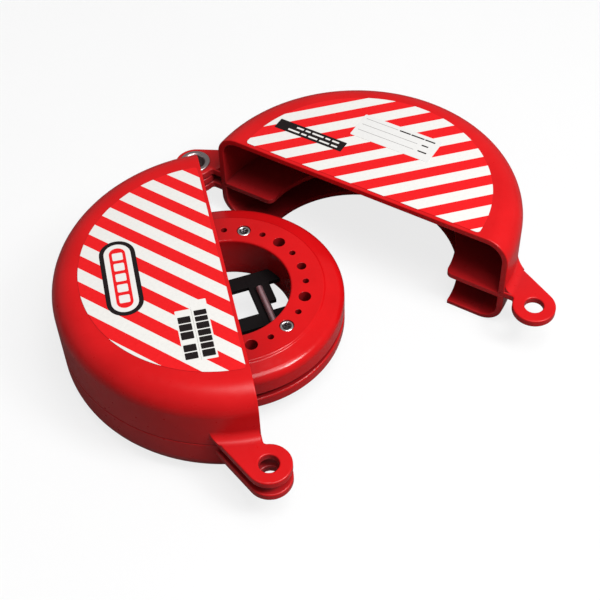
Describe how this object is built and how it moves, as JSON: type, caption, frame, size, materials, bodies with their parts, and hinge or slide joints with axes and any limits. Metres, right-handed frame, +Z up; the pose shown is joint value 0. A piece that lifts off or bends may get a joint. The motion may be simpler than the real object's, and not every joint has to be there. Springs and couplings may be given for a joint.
{
  "type": "gate valve lockout",
  "caption": "Round red clamshell lockout for a gate valve handwheel: two half shells on a hinge eyelet, padlock ears and a turning stem ring.",
  "frame": {"origin": "axis of the closed shells, which is the axis of the valve stem, in the plane that the base stands on", "axes": "+Z up along the valve stem; +Y towards the hinge eyelet; +X from the fixed left half towards the half that swings open"},
  "size_m": [0.2676, 0.2515, 0.0639],
  "materials": {
    "red_abs": "moulded red ABS, satin gloss",
    "label_film": "printed red and white vinyl film",
    "writing_film": "matt white film for writing on",
    "plated_steel": "nickel plated steel, rolled",
    "bright_steel": "bright plated screw heads",
    "plain_steel": "ground steel pin",
    "black_nylon": "moulded black nylon"
  },
  "bodies": {
    "left_half": {"left_upper_shell": "red_abs", "left_lower_shell": "red_abs", "left_track_plate": "red_abs", "left_label": "label_film"},
    "right_half": {"right_upper_shell": "red_abs", "right_lower_shell": "red_abs", "right_track_plate": "red_abs", "right_label": "label_film", "writing_panel": "writing_film", "hinge_eyelet": "plated_steel", "hinge_washer": "plated_steel"},
    "stem_ring": {"stem_ring_upper": "red_abs", "stem_ring_lower": "red_abs", "ring_screws": "bright_steel", "stem_rail_front": "black_nylon", "stem_rail_rear": "black_nylon", "stem_bar_left": "black_nylon", "stem_bar_right": "black_nylon", "stem_pin": "plain_steel"}
  },
  "joints": [
    {"name": "shell_hinge", "type": "hinge", "parent": "left_half", "child": "right_half", "pos_m": [0, 0.11135, 0.0257], "axis": [0, 0, 1], "range_deg": [-46.7, 195]},
    {"name": "ring_turn", "type": "hinge", "parent": "left_half", "child": "stem_ring", "pos_m": [0, 0, 0.024], "axis": [0, 0, 1], "continuous": true}
  ]
}
